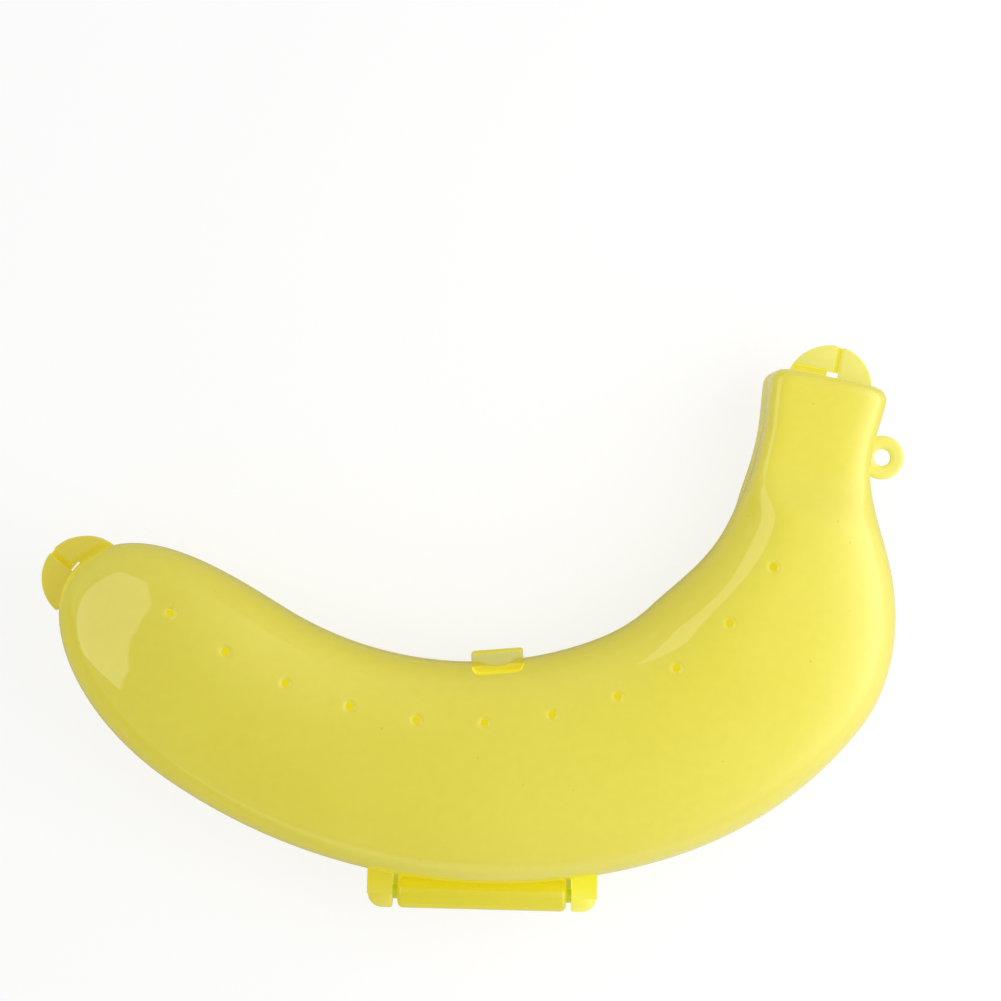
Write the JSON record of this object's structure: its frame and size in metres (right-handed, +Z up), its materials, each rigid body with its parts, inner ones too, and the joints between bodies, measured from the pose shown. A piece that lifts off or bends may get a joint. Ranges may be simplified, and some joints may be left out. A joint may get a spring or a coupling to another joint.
{
  "type": "banana carrying case",
  "caption": "Hinged two-shell plastic case shaped like a banana, with snap latch, pull tabs, vent holes and a hang loop, for carrying one banana unbruised.",
  "frame": {"origin": "on the surface that the case lies on, under the middle of its bounding box", "axes": "+X along the hinge from the tip towards the stem, +Y across the bow from the hinge to the latch, +Z up through the front half"},
  "size_m": [0.206, 0.1374, 0.046],
  "materials": {
    "shell_plastic": "gloss, slightly translucent yellow",
    "moulding_plastic": "gloss, slightly translucent yellow",
    "pin_plastic": "gloss yellow"
  },
  "bodies": {
    "rear": {"rear_shell": "shell_plastic", "hinge_barrel": "moulding_plastic", "latch_root": "moulding_plastic", "hang_loop": "moulding_plastic", "tip_tab_rear": "moulding_plastic", "stem_tab_rear": "moulding_plastic"},
    "front": {"front_shell": "shell_plastic", "hinge_ear_left": "moulding_plastic", "hinge_ear_right": "moulding_plastic", "hinge_pin": "pin_plastic", "latch_catch": "moulding_plastic", "tip_tab_front": "moulding_plastic", "stem_tab_front": "moulding_plastic"},
    "latch": {"latch_tongue": "moulding_plastic"}
  },
  "joints": [
    {"name": "lid_hinge", "type": "hinge", "parent": "rear", "child": "front", "pos_m": [0.00431, -0.06492, 0.023], "axis": [1, 0, 0], "range_deg": [0, 180]},
    {"name": "latch_flex", "type": "hinge", "parent": "rear", "child": "latch", "pos_m": [0.0065, -0.00783, 0.016], "axis": [-0.9945, -0.1044, 0], "range_deg": [0, 12], "stiffness_Nm_per_rad": 0.004}
  ]
}
